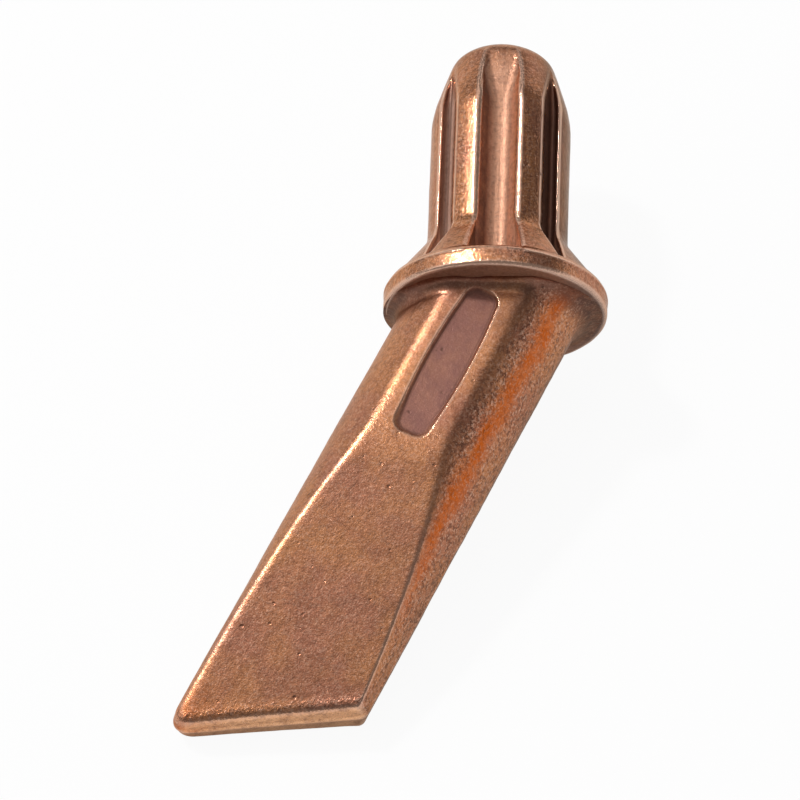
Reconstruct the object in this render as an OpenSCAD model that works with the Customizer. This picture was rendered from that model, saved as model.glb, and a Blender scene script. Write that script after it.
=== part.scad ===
// Hatchet bit of a soldering iron: one drop-forged copper piece with a ribbed
// shank, a round collar and an inclined chisel blade. Its forged regions are
// separate solids that meet on flat faces.

/* [Shank] */
// Radius over the tops of the ribs
shank_r = 10.25; // [9.6:0.05:11.5]
// Length of the straight ribs between the flare and the tapered nose
rib_len = 21.5; // [15:0.5:30]
// Length of the tapered nose
taper_len = 7.75; // [5:0.25:12]
// Radius where the taper meets the rounded cap
cap_r = 7.9; // [7.5:0.05:9]
// Height of the rounded cap
cap_h = 3.85; // [2.5:0.05:6]
// Distance from the parting plane to the floor of the front and back grooves
groove_floor = 7.3; // [6.5:0.05:7.4]
// Half width of the front and back grooves at their floor
groove_half = 1.2; // [0.8:0.05:1.6]
// Draft of the front and back grooves' walls, in degrees
groove_draft = 35; // [20:1:40]
// Distance from the parting plane to the floor of the four side grooves
side_floor = 3.6; // [2.8:0.05:4.4]
// Distance from the axis to the inner edge of the side groove's floor
side_floor_x = 7.3; // [6.8:0.05:7.6]
// Width of the side groove's floor
side_floor_w = 0.8; // [0.5:0.05:1.2]
// Draft of the side grooves' walls, in degrees
draft = 12; // [6:0.5:16]

/* [Collar] */
// Radius of the collar's rim
rim_r = 16.2; // [15.6:0.05:19]
// Thickness of the rim
rim_h = 3.5; // [2.4:0.1:5]
// Rounding of the rim's edges
rim_round = 0.8; // [0.3:0.05:1.1]
// Radius of the flare where it stands on the rim
flare_r = 15.3; // [12.5:0.05:15.4]
// Height of the flare above the rim
flare_h = 7; // [4:0.25:10]

/* [Body] */
// Angle between the shank's axis and the body's axis, in degrees
lean = 24.7; // [15:0.1:32]
// Height above the collar's underside at which the two axes cross
axis_cross = 0.8; // [0:0.1:2]
// Radius of the round body where the axes cross
body_r = 11.8; // [11.3:0.05:12.4]
// Growth of the body's radius per millimetre towards the tip
body_swell = 0.0015; // [0:0.0005:0.01]
// Thickness of the body across its two flats
across_flats = 21.3; // [18:0.1:22]
// Distance along the body's axis at which the blade begins
blade_start = 28.3; // [22:0.1:34]
// Angle by which the bend where the blade begins is turned towards the working face's slant, in degrees
bend_turn = 20; // [0:1:30]

/* [Panel] */
// Width of the bare sunken panel at its ends
panel_w = 4.9; // [3:0.1:7]
// Bulge of each long side of the panel
panel_bow = 0.6; // [0:0.05:0.9]
// Length of the panel
panel_len = 24.6; // [12:0.1:24.8]
// Distance along the body's axis to the middle of the panel
panel_mid = 14.9; // [13:0.1:16]
// Depth of the panel
panel_depth = 0.6; // [0.3:0.05:1.2]
// Rounding of the panel's corners
panel_round = 1.7; // [0.5:0.05:2]

/* [Blade] */
// Distance along the body's axis from where the axes cross to the working face
tip_at = 71.8; // [60:0.1:85]
// Thickness of the blade in the middle of the working face
tip_t = 6.2; // [4:0.1:10]
// Angle of the working face from a square cut, in degrees
face_slant = 30.9; // [20:0.1:36]
// Height of the working end, square to its face
tip_h = 4; // [3:0.1:8]
// Rounding of the long corner of the blade
toe_round = 1.8; // [0.5:0.1:2.4]
// Rounding of the short corner of the blade
heel_round = 1.3; // [0.5:0.1:2.4]

/* [Rest] */
// Angle by which the shank rises when the bit lies on a table, in degrees
rest_pitch = 11; // [0:0.1:20]
// Angle by which the bit turns about its shank to rest, in degrees
rest_roll = -0.8; // [-15:0.1:15]

/* [Hidden] */
$fn = 96;

copper = "#b06a44";
copper_light = "#c07a52";
copper_dark = "#8f5136";

// Heights above the collar's underside
flare_top = rim_h + flare_h;
rib_top = flare_top + rib_len;
cap_base = rib_top + taper_len;
nose_top = cap_base + cap_h;

// Reach of the blocks that trim the solids, past every part of the bit
reach = 2 * (nose_top + tip_at);

// Sections of the shank: x runs across the bit, y away from the parting plane
draft_run = tan(draft);
groove_run = tan(groove_draft);
rib_reach = flare_r + 1;
rib_foot_x = side_floor_x - (groove_floor - side_floor) * draft_run;
side_wall_x = side_floor_x + side_floor_w;

// Steps of the rounded outlines
arc_steps = 8;
cap_steps = 12;

function arc(centre, r, from, to) = [
  for (i = [0:arc_steps])
    let (a = from + (to - from) * i / arc_steps)
      centre + r * [cos(a), sin(a)]
];

// Half outline of the nose, the ribs and the flare, turned about the shank's axis
shank_outline = concat(
  [[0, rim_h], [flare_r, rim_h], [shank_r, flare_top], [shank_r, rib_top]],
  [for (i = [0:cap_steps]) let (a = 90 * i / cap_steps) [cap_r * cos(a), cap_base + cap_h * sin(a)]]
);

// Half outline of the rim
rim_edge = rim_r - rim_round;
rim_outline = concat(
  [[0, 0]],
  arc([rim_edge, rim_round], rim_round, -90, 0),
  arc([rim_edge, rim_h - rim_round], rim_round, 0, 90),
  [[0, rim_h]]
);

core_section = [
  [-rib_foot_x, groove_floor], [rib_foot_x, groove_floor],
  [side_floor_x, side_floor], [side_floor_x, -side_floor],
  [rib_foot_x, -groove_floor], [-rib_foot_x, -groove_floor],
  [-side_floor_x, -side_floor], [-side_floor_x, side_floor]
];

rib_rise = shank_r - groove_floor;
front_rib_section = [
  [groove_half, groove_floor], [rib_foot_x, groove_floor],
  [rib_foot_x - rib_rise * draft_run, shank_r], [groove_half + rib_rise * groove_run, shank_r]
];

// Where a groove wall, from its root along a unit vector, comes out between the ribs' tops
function wall_edge(root, up) =
  root + up * (sqrt(shank_r * shank_r - root * root + pow(root * up, 2)) - root * up);

// From the edges of its rib, a front or back foot spreads radially on the outside and with draft on the inside
outer_edge = wall_edge([side_floor_x, side_floor], [-sin(draft), cos(draft)]);
inner_edge = wall_edge([groove_half, groove_floor], [sin(groove_draft), cos(groove_draft)]);
front_foot_section = [
  [groove_half, groove_floor], [rib_foot_x, groove_floor], outer_edge,
  outer_edge * rib_reach / outer_edge[1],
  [inner_edge[0] + (rib_reach - inner_edge[1]) * draft_run, rib_reach], inner_edge
];

side_rise = rib_reach - side_floor;
side_rib_section = [
  [side_floor_x, -side_floor], [side_wall_x, -side_floor],
  [side_wall_x + side_rise * draft_run, -rib_reach], [rib_reach, -rib_reach],
  [rib_reach, rib_reach], [side_wall_x + side_rise * draft_run, rib_reach],
  [side_wall_x, side_floor], [side_floor_x, side_floor]
];

// Body and blade: z runs along their own axis towards the tip, +x towards the toe
flat_d = across_flats / 2;
slope = (flat_d - tip_t / 2) / (tip_at - blade_start) / cos(bend_turn);
side_angle = atan(body_swell);
bar_back = body_r;
face_run = tan(face_slant);
toe_x = (body_r + body_swell * tip_at) / (1 - body_swell * face_run);
toe = [toe_x, tip_at + toe_x * face_run];
bar_end = toe[1] + 1;
heel_x = -(body_r + body_swell * tip_at) / (1 + body_swell * face_run);
heel = [heel_x, tip_at + heel_x * face_run];

// Unit vectors from the toe and the heel, up the sides and along the working face
toe_side = [-sin(side_angle), -cos(side_angle)];
heel_side = [sin(side_angle), -cos(side_angle)];
to_heel = [-cos(face_slant), -sin(face_slant)];
to_toe = [cos(face_slant), sin(face_slant)];

panel_x = panel_w / 2 - panel_round;
panel_y = panel_len / 2 - panel_round;
function bowed_side(side) = [
  for (i = [1:arc_steps - 1])
    let (t = 1 - 2 * i / arc_steps)
      side * [panel_w / 2 + panel_bow * (1 - t * t), -panel_y * t]
];
panel_outline = concat(
  arc([panel_x, panel_y], panel_round, 0, 90),
  arc([-panel_x, panel_y], panel_round, 90, 180),
  bowed_side(-1),
  arc([-panel_x, -panel_y], panel_round, 180, 270),
  arc([panel_x, -panel_y], panel_round, 270, 360),
  bowed_side(1)
);

// Place of the lying bit: the rim touches the table at z = 0, and the box is centred over the origin
toe_inward = (toe_side + to_heel) / norm(toe_side + to_heel);
toe_centre = toe + toe_inward * toe_round / sin(acos(toe_side * to_heel) / 2);
toe_d = flat_d - slope * ((toe_centre[1] - blade_start) * cos(bend_turn) - toe_centre[0] * sin(bend_turn));
toe_x0 = -toe_centre[0] * cos(lean) - toe_centre[1] * sin(lean);
toe_z0 = axis_cross + toe_centre[0] * sin(lean) - toe_centre[1] * cos(lean);
left_x = (toe_x0 - toe_round) * cos(rest_roll) - toe_d * abs(sin(rest_roll));
low_y = (toe_z0 - toe_round) * cos(rest_pitch)
  + (toe_x0 * sin(rest_roll) - toe_d * cos(rest_roll)) * sin(rest_pitch);
high_y = cap_base * cos(rest_pitch) + norm([cap_h * cos(rest_pitch), cap_r * sin(rest_pitch)]);
rest_x = -(rim_r + left_x) / 2;
rest_y = -(high_y + low_y) / 2;
rest_z = rim_edge * cos(rest_pitch) + rim_round * (1 - sin(rest_pitch));

// The bit lies on its back, front face up and shank towards +Y
module lay_down() {
  translate([rest_x, rest_y, rest_z])
    rotate([rest_pitch - 90, 0, 0])
      rotate([0, 0, rest_roll])
        children();
}

// From the body's own axis to the shank's upright frame
module along_body() {
  translate([0, 0, axis_cross])
    rotate([0, 180 + lean, 0])
      children();
}

// The shank's solid of revolution between two heights
module shank_slice(low, high) {
  intersection() {
    rotate_extrude() polygon(shank_outline);
    translate([-reach / 2, -reach / 2, low]) cube([reach, reach, high - low]);
  }
}

// A straight prism of a shank section, from the rim to past the nose
module prism(section) {
  translate([0, 0, rim_h]) linear_extrude(height = nose_top) polygon(section);
}

// The straight and tapered part of a rib, and the foot that flares out to the rim
module rib(section) {
  intersection() {
    shank_slice(flare_top, cap_base);
    prism(section);
  }
}

module foot(section) {
  intersection() {
    shank_slice(rim_h, flare_top);
    prism(section);
  }
}

// A front or back foot, which stops where it reaches the side foot
module front_foot() {
  difference() {
    foot(front_foot_section);
    prism(side_rib_section);
  }
}

// The round body and blade before their faces are cut
module bar() {
  translate([0, 0, -bar_back])
    cylinder(
      h = bar_end + bar_back,
      r1 = body_r - body_swell * bar_back,
      r2 = body_r + body_swell * bar_end
    );
}

// A block with the given side outline (distance past the bend, height), along the whole bend
module slab(outline) {
  translate([0, 0, blade_start])
    rotate([0, -bend_turn, 0])
      rotate([0, -90, 0])
        linear_extrude(height = reach, center = true)
          polygon(outline);
}

module flat_slab() {
  slab([[-reach, -flat_d], [0, -flat_d], [0, flat_d], [-reach, flat_d]]);
}

module wedge_slab() {
  wedge_len = bar_end - blade_start;
  end_d = flat_d - slope * wedge_len;
  slab([[0, -flat_d], [wedge_len, -end_d], [wedge_len, end_d], [0, flat_d]]);
}

// Everything that lies further than h behind the working face
module behind_face(h) {
  translate([0, 0, tip_at])
    rotate([0, -face_slant, 0])
      translate([-reach / 2, -reach / 2, -reach - h])
        cube(reach);
}

// What a rounded corner takes off: the corner beyond its two tangent points, less the round itself
module corner_cut(corner, side, face, r) {
  half = acos(side * face) / 2;
  inward = (side + face) / norm(side + face);
  chord_at = corner + inward * r * (1 / sin(half) - sin(half));
  centre = corner + inward * r / sin(half);
  turn = atan2(inward[0], inward[1]);
  difference() {
    translate([chord_at[0], 0, chord_at[1]])
      rotate([0, turn, 0])
        translate([-reach / 2, -reach / 2, -reach])
          cube(reach);
    translate([centre[0], 0, centre[1]])
      rotate([90, 0, 0])
        cylinder(h = reach, r = r, center = true);
  }
}

module panel_cut() {
  translate([0, panel_depth - flat_d, panel_mid])
    rotate([90, 0, 0])
      linear_extrude(height = flat_d)
        polygon(panel_outline);
}

module nose_cap() {
  color(copper_light) lay_down() intersection() {
    shank_slice(cap_base, nose_top);
    union() {
      prism(core_section);
      for (side = [0, 180]) rotate([0, 0, side]) {
        prism(front_rib_section);
        mirror([1, 0, 0]) prism(front_rib_section);
        prism(side_rib_section);
      }
    }
  }
}

module shank_core() {
  color(copper_dark) lay_down() intersection() {
    shank_slice(rim_h, cap_base);
    prism(core_section);
  }
}

module front_left_rib() {
  color(copper) lay_down() rotate([0, 0, 180]) rib(front_rib_section);
}

module front_right_rib() {
  color(copper) lay_down() mirror([0, 1, 0]) rib(front_rib_section);
}

module back_left_rib() {
  color(copper) lay_down() mirror([1, 0, 0]) rib(front_rib_section);
}

module back_right_rib() {
  color(copper) lay_down() rib(front_rib_section);
}

module left_rib() {
  color(copper_light) lay_down() mirror([1, 0, 0]) rib(side_rib_section);
}

module right_rib() {
  color(copper_light) lay_down() rib(side_rib_section);
}

module front_left_foot() {
  color(copper) lay_down() rotate([0, 0, 180]) front_foot();
}

module front_right_foot() {
  color(copper) lay_down() mirror([0, 1, 0]) front_foot();
}

module back_left_foot() {
  color(copper) lay_down() mirror([1, 0, 0]) front_foot();
}

module back_right_foot() {
  color(copper) lay_down() front_foot();
}

module left_foot() {
  color(copper_light) lay_down() mirror([1, 0, 0]) foot(side_rib_section);
}

module right_foot() {
  color(copper_light) lay_down() foot(side_rib_section);
}

module collar() {
  color(copper) lay_down() rotate_extrude() polygon(rim_outline);
}

module body() {
  color(copper_dark) lay_down() intersection() {
    along_body() difference() {
      intersection() {
        bar();
        flat_slab();
      }
      panel_cut();
    }
    translate([-reach / 2, -reach / 2, -reach]) cube(reach);
  }
}

module blade() {
  color(copper) lay_down() along_body() difference() {
    intersection() {
      bar();
      wedge_slab();
      behind_face(tip_h);
    }
    panel_cut();
  }
}

module working_end() {
  color(copper_light) lay_down() along_body() difference() {
    intersection() {
      bar();
      wedge_slab();
      behind_face(0);
    }
    behind_face(tip_h);
    corner_cut(toe, toe_side, to_heel, toe_round);
    corner_cut(heel, heel_side, to_toe, heel_round);
  }
}

nose_cap();
shank_core();
front_left_rib();
front_right_rib();
back_left_rib();
back_right_rib();
left_rib();
right_rib();
front_left_foot();
front_right_foot();
back_left_foot();
back_right_foot();
left_foot();
right_foot();
collar();
body();
blade();
working_end();
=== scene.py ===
import math

import bpy
import numpy as np
from mathutils import Euler, Matrix, Vector


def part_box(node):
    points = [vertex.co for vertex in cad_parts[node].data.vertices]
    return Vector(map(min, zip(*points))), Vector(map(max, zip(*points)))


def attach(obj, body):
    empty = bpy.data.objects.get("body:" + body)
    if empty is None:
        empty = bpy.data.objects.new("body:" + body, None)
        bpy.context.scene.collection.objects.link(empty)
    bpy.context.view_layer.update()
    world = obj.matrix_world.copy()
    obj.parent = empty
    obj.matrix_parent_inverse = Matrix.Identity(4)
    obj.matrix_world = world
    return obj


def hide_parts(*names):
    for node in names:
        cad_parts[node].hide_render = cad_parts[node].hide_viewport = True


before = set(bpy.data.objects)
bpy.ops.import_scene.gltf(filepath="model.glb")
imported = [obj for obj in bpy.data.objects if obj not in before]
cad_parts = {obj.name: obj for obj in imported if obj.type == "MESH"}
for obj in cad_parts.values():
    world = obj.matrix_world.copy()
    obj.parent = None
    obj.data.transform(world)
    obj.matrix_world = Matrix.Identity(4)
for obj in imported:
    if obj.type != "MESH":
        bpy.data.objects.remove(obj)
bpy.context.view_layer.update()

# Sizes of the forging in millimetres, the same as those of its solids

# Shank: ribs, grooves and rounded nose
SHANK_R = 10.25
CAP_R = 7.9
GROOVE_FLOOR = 7.3
GROOVE_HALF = 1.2
GROOVE_DRAFT = math.radians(35)
SLOT_FLOOR = 3.6
SLOT_IN = 7.3
SLOT_OUT = 8.1
DRAFT = math.radians(12)

# Heights above the underside of the collar
RIM_H = 3.5
FLARE_TOP = 10.5
RIB_TOP = 32.0
CAP_BASE = 39.75
NOSE_TOP = 43.6
DOME_CENTRE = 38.6

# Collar and the feet that flare down to it
RIM_R = 16.2
FLARE_R = 15.3
RIM_TOP_ROUND = 1.2
RIM_LOW_ROUND = 0.6

# Body and blade, along their own axis
LEAN = math.radians(24.7)
AXIS_CROSS = 0.8
BODY_R = 11.8
BODY_SWELL = 0.0015
FLAT_D = 10.65
BLADE_START = 28.3
BEND_TURN = math.radians(20)
TIP_AT = 71.8
TIP_D = 3.1
TIP_H = 4.0
FACE_SLANT = math.radians(30.9)
TOE_ROUND = 3.1
HEEL_ROUND = 0.58
SKIRT_FLAT = 1.8
SKIRT_SIDE = 2.6

# Bare sunken panel in the front flat
PANEL_W = 4.9
PANEL_BOW = 0.6
PANEL_LEN = 24.6
PANEL_MID = 14.9
PANEL_DEPTH = 0.6
PANEL_ROUND = 1.7
PANEL_WALL = 0.6

# Fillets and rounded edges
RIB_INNER_EDGE = 0.6
RIB_OUTER_EDGE = 0.35
TAPER_EDGE = 0.6
DOME_EDGE = 0.3
GROOVE_FILLET = 0.8
SLOT_FILLET = 0.8
SLOT_CLOSE = 0.34
GROOVE_SPREAD = 0.66
FLARE_FILLET = 0.8
FEET_BELOW = 0.9
RIM_FILLET = 0.5
BODY_EDGE = 0.7
BLADE_LEFT_EDGE = 2.2
BLADE_RIGHT_EDGE = 0.4
FACE_EDGE = 1.8
BEND_EDGE = 0.6

# Widths over which one rounding turns into another
CORNER_TURN = 1
EDGE_TURN = 2
FACE_TURN = 0.5

# Trimmed flash along the parting line of the two dies, which grows along the body
FLASH_RISE = 0.16
FLASH_HALF = 0.5
FLASH_FROM = 8.49
FLASH_FULL = 36.79

# How the forging lies on the table
REST_PITCH = math.radians(11)
REST_ROLL = math.radians(-0.8)
MM = 0.001


# Where the forging lies

def resting_place():
    """The turn and the shift, in millimetres, that lay the upright forging down.
    It turns about its shank, then tips back.
    The middle of its collar comes to the middle of that node's box."""
    tip = Matrix.Rotation(REST_PITCH - math.pi / 2, 3, "X")
    roll = Matrix.Rotation(REST_ROLL, 3, "Z")
    turn = np.array(tip @ roll)
    low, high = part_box("collar")
    middle = np.array((low + high) / 2) / MM
    return turn, middle - turn @ np.array([0, 0, RIM_H / 2])


TURN, SHIFT = resting_place()
LEAN_TURN = np.array([
    [-math.cos(LEAN), 0, -math.sin(LEAN)],
    [0, 1, 0],
    [math.sin(LEAN), 0, -math.cos(LEAN)],
])


def lay_down(points):
    """Points of the upright forging, in millimetres, laid on the table in metres."""
    return (points @ TURN.T + SHIFT) * MM


def from_body_axis(points):
    """Points given along the body's own axis, put upright."""
    return points @ LEAN_TURN.T + np.array([0, 0, AXIS_CROSS])


def upright(points):
    """Points of the shank and collar, which are upright already."""
    return points


# Shares from 0 to 1

def ramp(value, start, end):
    """0 at start and 1 at end, straight between them and level beyond."""
    return np.clip((value - start) / (end - start), 0, 1)


def smooth(share):
    """The share levelled off at both ends: three times its square less twice its cube."""
    return share * share * (3 - 2 * share)


def switch(value, width):
    """0 well below zero and 1 well above it: the logistic curve of the value in widths."""
    return 1 / (1 + np.exp(-np.clip(value / width, -20, 20)))


def hump(value, middle, width):
    """1 at the middle and less on both sides: the bell curve of the distance in widths."""
    return np.exp(-((value - middle) / width) ** 2)


# Solids as signed distances: negative inside, in millimetres

def both(a, b, edge):
    """What two solids share, with the edge between them rounded to a quarter circle of radius edge."""
    corner = np.hypot(np.maximum(a + edge, 0), np.maximum(b + edge, 0))
    return np.minimum(-edge, np.maximum(a, b)) + corner


def eased_both(a, b, reach):
    """What two solids share, with the edge between them eased away.
    Where the two distances differ by less than reach, a cubic of up to a sixth of reach is added."""
    near = np.maximum(1 - np.abs(a - b) / reach, 0)
    return np.maximum(a, b) + near ** 3 * reach / 6


def joined(a, b, fillet):
    """Two solids together, with the corner between them filled by a quarter circle of radius fillet."""
    corner = np.hypot(np.maximum(fillet - a, 0), np.maximum(fillet - b, 0))
    return np.maximum(fillet, np.minimum(a, b)) - corner


def slope_line(r, z, start, end):
    """Distance of (r, z) outside the straight line from start to end."""
    run, rise = end[0] - start[0], end[1] - start[1]
    length = math.hypot(run, rise)
    return ((r - start[0]) * rise - (z - start[1]) * run) / length


DRAFT_RUN = math.tan(DRAFT)
GROOVE_RUN = math.tan(GROOVE_DRAFT)
GROOVE_ROOT = (GROOVE_HALF, GROOVE_FLOOR)
SLOT_ROOT = (SLOT_IN, SLOT_FLOOR)
UP_GROOVE = (math.sin(GROOVE_DRAFT), math.cos(GROOVE_DRAFT))
UP_IN = (math.sin(DRAFT), math.cos(DRAFT))
UP_OUT = (-math.sin(DRAFT), math.cos(DRAFT))


def wall_edge(root, up, radius, longest=math.inf):
    """Where a wall, from its root along a unit direction, meets a circle about the axis.
    The wall reaches at most the longest distance up."""
    near = root[0] * up[0] + root[1] * up[1]
    off = root[0] ** 2 + root[1] ** 2 - near ** 2
    reach = np.sqrt(np.maximum(np.square(radius) - off, 0)) - near
    reach = np.clip(reach, 0, longest)
    return np.stack([root[0] + reach * up[0], root[1] + reach * up[1]], -1)


OUTER_EDGE = wall_edge(SLOT_ROOT, UP_OUT, SHANK_R)
INNER_EDGE = wall_edge(GROOVE_ROOT, UP_GROOVE, SHANK_R)
FOOT_SPREAD = math.atan2(OUTER_EDGE[0], OUTER_EDGE[1])
INNER_SPREAD = math.atan2(INNER_EDGE[0], INNER_EDGE[1])


def groove_half(radius):
    """Half the width of the groove's floor.
    It grows along the taper, in step with the radius, so that the rib edges stay parallel."""
    return GROOVE_HALF + GROOVE_SPREAD * (SHANK_R - np.minimum(radius, SHANK_R))


def slot_side(radius):
    """Distance from the axis to the slot's outer wall, which draws in with the taper and closes the slot."""
    return SLOT_OUT - SLOT_CLOSE * (SHANK_R - np.minimum(radius, SHANK_R))


def ribbed_section(x, y, radius):
    """Distance outside the ribbed section where the outline has a radius. All four quarters are alike.
    The inner lobe lies inside the outer rib wall, and under the groove floor or beyond the inner rib wall.
    The side lobe lies under the slot floor or beyond the side wall.
    Past the rib's edges the foot runs out radially on the outside and with the walls' draft on the inside."""
    ax, ay = np.abs(x), np.abs(y)
    inner_wall = (groove_half(radius) + (ay - GROOVE_FLOOR) * GROOVE_RUN - ax) * math.cos(GROOVE_DRAFT)
    inner_foot = (INNER_EDGE[0] + (ay - INNER_EDGE[1]) * DRAFT_RUN - ax) * math.cos(DRAFT)
    outer_wall = (ax - SLOT_IN + (ay - SLOT_FLOOR) * DRAFT_RUN) * math.cos(DRAFT)
    foot_wall = ax * math.cos(FOOT_SPREAD) - ay * math.sin(FOOT_SPREAD)
    side_wall = (slot_side(radius) + (ay - SLOT_FLOOR) * DRAFT_RUN - ax) * math.cos(DRAFT)
    floor = joined(ay - GROOVE_FLOOR, np.minimum(inner_wall, inner_foot), GROOVE_FILLET)
    lobe = np.maximum(np.minimum(outer_wall, foot_wall), floor)
    side = joined(side_wall, ay - SLOT_FLOOR, SLOT_FILLET)
    return joined(lobe, side, SLOT_FILLET)


DOME_H = NOSE_TOP - DOME_CENTRE
DOME_R = CAP_R / math.sqrt(1 - ((CAP_BASE - DOME_CENTRE) / DOME_H) ** 2)
DOME_TILT = (CAP_R / DOME_R ** 2, (CAP_BASE - DOME_CENTRE) / DOME_H ** 2)
TAPER_RUN = (SHANK_R - CAP_R) / (CAP_BASE - RIB_TOP)
TINY = 1e-9


def dome(r, z):
    """Distance outside the nose: an ellipsoid above its base, and its tangent cone below."""
    up = z - DOME_CENTRE
    near = np.sqrt((r / DOME_R) ** 2 + (up / DOME_H) ** 2) + TINY
    steep = np.sqrt((r / DOME_R ** 2) ** 2 + (up / DOME_H ** 2) ** 2) + TINY
    cone = ((r - CAP_R) * DOME_TILT[0] + (z - CAP_BASE) * DOME_TILT[1]) / math.hypot(*DOME_TILT)
    return np.where(z > CAP_BASE, near * (near - 1) / steep, cone)


def turned_outline(r, z):
    """Distance outside the shank as if it had no grooves: nose, taper, straight part and flare."""
    taper = slope_line(r, z, (SHANK_R, RIB_TOP), (CAP_R, CAP_BASE))
    outline = both(both(r - SHANK_R, taper, TAPER_EDGE), dome(r, z), DOME_EDGE)
    flare = slope_line(r, z, (FLARE_R, RIM_H), (SHANK_R, FLARE_TOP))
    return joined(outline, flare, FLARE_FILLET)


def shank_and_collar(p):
    """Distance outside the upright shank and collar.
    The ribbed section is cut to the turned outline and joined to a rounded disc."""
    x, y, z = p[..., 0], p[..., 1], p[..., 2]
    r = np.hypot(x, y)
    outline = turned_outline(r, z)
    radius = SHANK_R - TAPER_RUN * np.maximum(z - RIB_TOP, 0)
    outward = ramp(np.arctan2(np.abs(x), np.abs(y)), INNER_SPREAD, FOOT_SPREAD)
    edge = RIB_INNER_EDGE + (RIB_OUTER_EDGE - RIB_INNER_EDGE) * outward
    shank = both(ribbed_section(x, y, radius), outline, edge)
    shank = np.maximum(shank, RIM_H - FEET_BELOW - z)
    rim = both(both(r - RIM_R, z - RIM_H, RIM_TOP_ROUND), -z, RIM_LOW_ROUND)
    return joined(shank, rim, RIM_FILLET)


WEDGE_SLOPE = (FLAT_D - TIP_D) / (TIP_AT - BLADE_START)
FACE_RUN = math.tan(FACE_SLANT)
BEND_RUN = math.tan(BEND_TURN)


def below_collar(x, z):
    """Distance below the collar's underside, for points along the body's axis."""
    return z * math.cos(LEAN) - x * math.sin(LEAN) - AXIS_CROSS


def collar_plane(x):
    """Place along the body's axis where the collar's underside lies."""
    return (AXIS_CROSS + x * math.sin(LEAN)) / math.cos(LEAN)


def skirt(x, y):
    """Radius of the fillet under the collar, larger at the sides than over the flats."""
    return SKIRT_FLAT + (SKIRT_SIDE - SKIRT_FLAT) * x * x / (x * x + y * y + TINY)


def past_bend(x, z):
    """Distance along the axis past the bend where the blade begins.
    The bend is turned towards the slant of the working face."""
    return z - BLADE_START - x * BEND_RUN


def flat_half(x, z):
    """Half the thickness between the flats."""
    return FLAT_D - WEDGE_SLOPE * np.maximum(past_bend(x, z), 0)


def panel_share(x, z):
    """1 on the panel's floor and 0 outside the panel: a rounded oblong with bowed sides and soft walls.
    The walls are softest at the end towards the blade."""
    half_len = PANEL_LEN / 2 - PANEL_ROUND
    along = np.minimum(np.abs(z - PANEL_MID) / half_len, 1)
    qx = np.abs(x) - PANEL_W / 2 - PANEL_BOW * (1 - along * along) + PANEL_ROUND
    qz = np.abs(z - PANEL_MID) - half_len
    outside = np.hypot(np.maximum(qx, 0), np.maximum(qz, 0)) + np.minimum(np.maximum(qx, qz), 0)
    wall = PANEL_WALL * (1 + np.where(z > PANEL_MID, along ** 4, 0))
    return smooth(ramp(outside - PANEL_ROUND, wall / 2, -wall / 2))


def body_and_blade(p, share=0.0):
    """Distance outside the body and blade, along their own axis.
    A slightly swelling round bar is cut by the slanted working face and by two flats that turn into a wedge,
    and meets the collar's underside in a fillet. A share of the front lies on the panel's floor."""
    x, y, z = p[..., 0], p[..., 1], p[..., 2]
    bar = np.hypot(x, y) - BODY_R - BODY_SWELL * z
    face = (z - TIP_AT - x * FACE_RUN) * math.cos(FACE_SLANT)
    corner = HEEL_ROUND + (TOE_ROUND - HEEL_ROUND) * switch(x, CORNER_TURN)
    flash = FLASH_RISE * hump(y, 0, FLASH_HALF) * ramp(z, FLASH_FROM, FLASH_FULL)
    plan = both(bar, face, corner) - flash
    ay = np.abs(y)
    past = past_bend(x, z)
    wedge = (ay - FLAT_D + WEDGE_SLOPE * past) / math.hypot(1, WEDGE_SLOPE, WEDGE_SLOPE * BEND_RUN)
    flats = both(ay - FLAT_D, wedge, BEND_EDGE)
    flats = flats + np.where(y < 0, share, 0) * (ay - FLAT_D + PANEL_DEPTH - flats)
    blade_edge = BLADE_RIGHT_EDGE + (BLADE_LEFT_EDGE - BLADE_RIGHT_EDGE) * switch(x, EDGE_TURN)
    blade_edge = blade_edge + (FACE_EDGE - blade_edge) * switch(face - bar, FACE_TURN)
    edge = BODY_EDGE + (blade_edge - BODY_EDGE) * ramp(past, 0, TIP_AT - BLADE_START)
    return joined(eased_both(plan, flats, edge), below_collar(x, z), skirt(x, y))


def body_with_panel(p):
    """Distance outside the body and blade with the bare panel sunk into the front flat."""
    return body_and_blade(p, panel_share(p[..., 0], p[..., 2]))


# Drawing the sharp outlines onto the rounded solids

SETTLE_STEP = 0.004
LONGEST_SLIDE = 0.5
EVENING_PULL = 0.45


def steepest(solid, p, step):
    """The gradient of a solid's distance at p, from differences over step to each side."""
    columns = []
    for axis in np.eye(3) * step:
        columns.append((solid(p + axis) - solid(p - axis)) / (2 * step))
    return np.stack(columns, -1)


def unit(v):
    """Vectors of length one."""
    return v / (np.linalg.norm(v, axis=-1, keepdims=True) + TINY)


def settle(solid, p, rounds=6, evening=14):
    """Slides points down the gradient until they lie on the solid's surface.
    Between later slides each point moves along the surface, part of the way to its neighbours' middle."""
    for number in range(rounds + evening):
        slope = steepest(solid, p, SETTLE_STEP)
        move = solid(p) / (np.sum(slope ** 2, -1) + TINY)
        p = p - slope * np.clip(move, -LONGEST_SLIDE, LONGEST_SLIDE)[..., None]
        if rounds // 2 <= number < rounds // 2 + evening:
            middle = (np.roll(p, 1, 1) + np.roll(p, -1, 1) + np.roll(p, 1, 0) + np.roll(p, -1, 0)) / 4
            drift = middle - p
            facing = unit(slope)
            drift = drift - facing * np.sum(drift * facing, -1, keepdims=True)
            p[1:-1] = p[1:-1] + EVENING_PULL * drift[1:-1]
    return p


def eased(count):
    """Values from 0 up to 1, without the last, a little closer together at both ends.
    Each is the mean of an even step and a cosine's."""
    t = np.arange(count) / count
    return 0.5 * t + 0.25 * (1 - np.cos(math.pi * t))


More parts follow.
